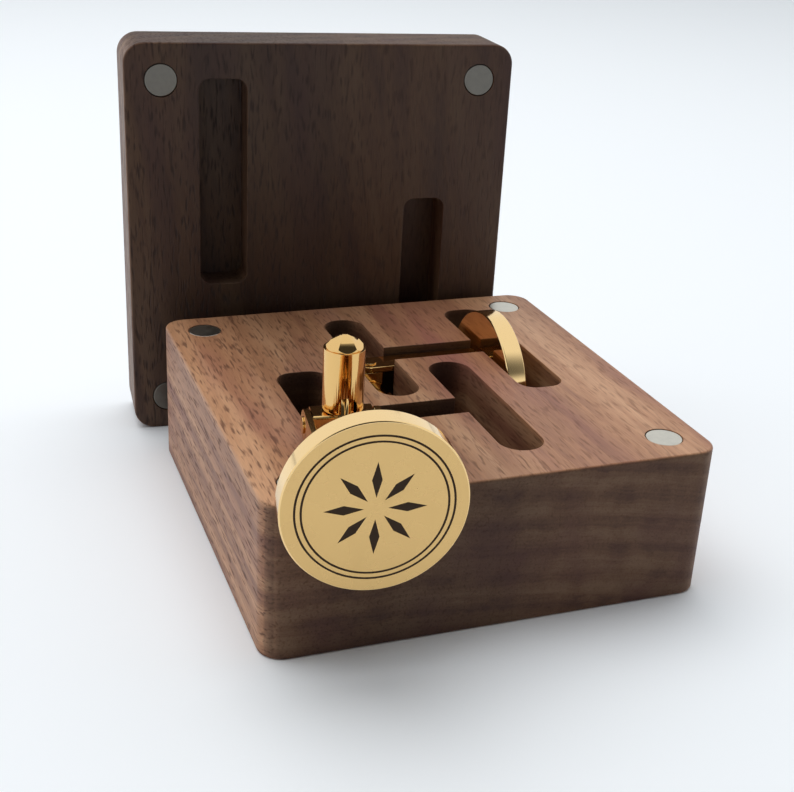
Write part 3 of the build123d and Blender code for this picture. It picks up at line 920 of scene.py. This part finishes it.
class CUFFLINK_OT_stage(bpy.types.Operator):
    """Set the floor, the light and the camera"""

    bl_idname = "cufflink.stage"
    bl_label = "Stage"

    def execute(self, context):
        settings = context.scene.cufflink_stage
        half = settings.floor_size / 2
        mesh = bpy.data.meshes.new("floor")
        mesh.from_pydata([(-half, -half, 0), (half, -half, 0), (half, half, 0), (-half, half, 0)],
                         [], [(0, 1, 2, 3)])
        mesh.materials.append(matte_paper("Matte white paper"))
        floor = bpy.data.objects.new("floor", mesh)
        context.scene.collection.objects.link(floor)
        self.light_world(context.scene, settings)
        self.hang_lamp(context.scene, settings)
        self.set_camera(context.scene, settings)
        context.scene.view_settings.view_transform = "Standard"
        return {"FINISHED"}

    def light_world(self, scene, settings):
        """Bright behind, above and beside, dim in front.

        What shows behind the object is white all round. Overhead in front the room is dark, above
        what a camera that looks down can see. Metal mirrors both.
        """
        world = bpy.data.worlds.new("White studio")
        world.use_nodes = True
        scene.world = world
        tree = world.node_tree
        tree.nodes.clear()
        place = add(tree, "ShaderNodeTexCoord")
        way = add(tree, "ShaderNodeSeparateXYZ", {"Vector": place.outputs["Generated"]})
        from_front = add(tree, "ShaderNodeMapRange", {
            "Value": way.outputs["Y"], "From Min": DIM_FRONT[0], "From Max": DIM_FRONT[1],
            "To Min": settings.room, "To Max": settings.sky}, interpolation_type="SMOOTHSTEP")
        to_ceiling = add(tree, "ShaderNodeVectorMath", {
            0: place.outputs["Generated"], 1: CEILING_WAY}, operation="DOT_PRODUCT")
        ceiling = add(tree, "ShaderNodeMapRange", {
            "Value": to_ceiling.outputs["Value"], "From Min": CEILING_EDGE[0],
            "From Max": CEILING_EDGE[1]}, interpolation_type="SMOOTHSTEP")
        high = add(tree, "ShaderNodeMapRange", {
            "Value": way.outputs["Z"], "From Min": CEILING_HEIGHT[0],
            "From Max": CEILING_HEIGHT[1]}, interpolation_type="SMOOTHSTEP")
        dark = add(tree, "ShaderNodeMath", {0: ceiling.outputs["Result"], 1: high.outputs["Result"]},
                   operation="MULTIPLY")
        shown = add(tree, "ShaderNodeMapRange", {
            "Value": dark.outputs["Value"], "To Min": 1.0, "To Max": settings.room})
        strength = add(tree, "ShaderNodeMix", {
            0: seen_rays(tree), 2: from_front.outputs["Result"], 3: shown.outputs["Result"]},
            data_type="FLOAT")
        shine = add(tree, "ShaderNodeBackground", {
            "Color": opaque(settings.sky_colour), "Strength": strength.outputs[0]})
        add(tree, "ShaderNodeOutputWorld", {"Surface": shine.outputs[0]})

    def hang_lamp(self, scene, settings):
        """A square soft box over the back of the box."""
        lamp = bpy.data.lights.new("soft_box", "AREA")
        lamp.shape = "SQUARE"
        lamp.size = settings.lamp_size
        lamp.energy = settings.lamp_power
        holder = bpy.data.objects.new("soft_box", lamp)
        holder.location = settings.lamp_place
        holder.visible_glossy = False
        aim = Vector(settings.lamp_aim) - holder.location
        holder.rotation_euler = aim.to_track_quat("-Z", "Y").to_euler()
        scene.collection.objects.link(holder)

    def set_camera(self, scene, settings):
        """A camera at its place, turned by azimuth, elevation and roll."""
        azimuth, elevation, roll = settings.azimuth, settings.elevation, settings.roll
        back = Vector((math.sin(azimuth) * math.cos(elevation),
                       -math.cos(azimuth) * math.cos(elevation), math.sin(elevation)))
        level = Vector((0, 0, 1)).cross(back).normalized()
        upright = back.cross(level)
        right = math.cos(roll) * level + math.sin(roll) * upright
        up = math.cos(roll) * upright - math.sin(roll) * level
        turn = Matrix((right, up, back)).transposed().to_4x4()
        camera = bpy.data.cameras.new("camera")
        camera.sensor_width = 36.0
        camera.lens = settings.lens
        camera.clip_start = 0.005
        holder = bpy.data.objects.new("camera", camera)
        holder.matrix_world = Matrix.Translation(settings.camera_place) @ turn
        scene.collection.objects.link(holder)
        scene.camera = holder


OPERATORS = (
    CUFFLINK_OT_walnut,
    CUFFLINK_OT_magnets,
    CUFFLINK_OT_discs,
    CUFFLINK_OT_engraving,
    CUFFLINK_OT_fittings,
    CUFFLINK_OT_stage,
)


class CUFFLINK_PT_panel(bpy.types.Panel):
    """The pieces of the cufflink box"""

    bl_idname = "CUFFLINK_PT_panel"
    bl_label = "Cufflink box"
    bl_space_type = "VIEW_3D"
    bl_region_type = "UI"
    bl_category = "Cufflink box"

    def draw(self, context):
        for group in SETTINGS:
            values = getattr(context.scene, group)
            box = self.layout.box()
            box.label(text=values.bl_rna.description)
            for name in values.__annotations__:
                box.prop(values, name)
        for operator in OPERATORS:
            self.layout.operator(operator.bl_idname)


SETTINGS = {
    "cufflink_walnut": WalnutSettings,
    "cufflink_gold": GoldSettings,
    "cufflink_engraving": EngravingSettings,
    "cufflink_magnet": MagnetSettings,
    "cufflink_stage": StageSettings,
}


def register():
    for name, group in SETTINGS.items():
        bpy.utils.register_class(group)
        setattr(bpy.types.Scene, name, PointerProperty(type=group))
    for item in (*OPERATORS, CUFFLINK_PT_panel):
        bpy.utils.register_class(item)


def unregister():
    for item in reversed((*OPERATORS, CUFFLINK_PT_panel)):
        bpy.utils.unregister_class(item)
    for name, group in SETTINGS.items():
        delattr(bpy.types.Scene, name)
        bpy.utils.unregister_class(group)


def main():
    register()
    bpy.ops.cufflink.walnut()
    bpy.ops.cufflink.magnets()
    bpy.ops.cufflink.discs()
    bpy.ops.cufflink.engraving()
    bpy.ops.cufflink.fittings()
    bpy.ops.cufflink.stage()


if __name__ == "__main__":
    main()
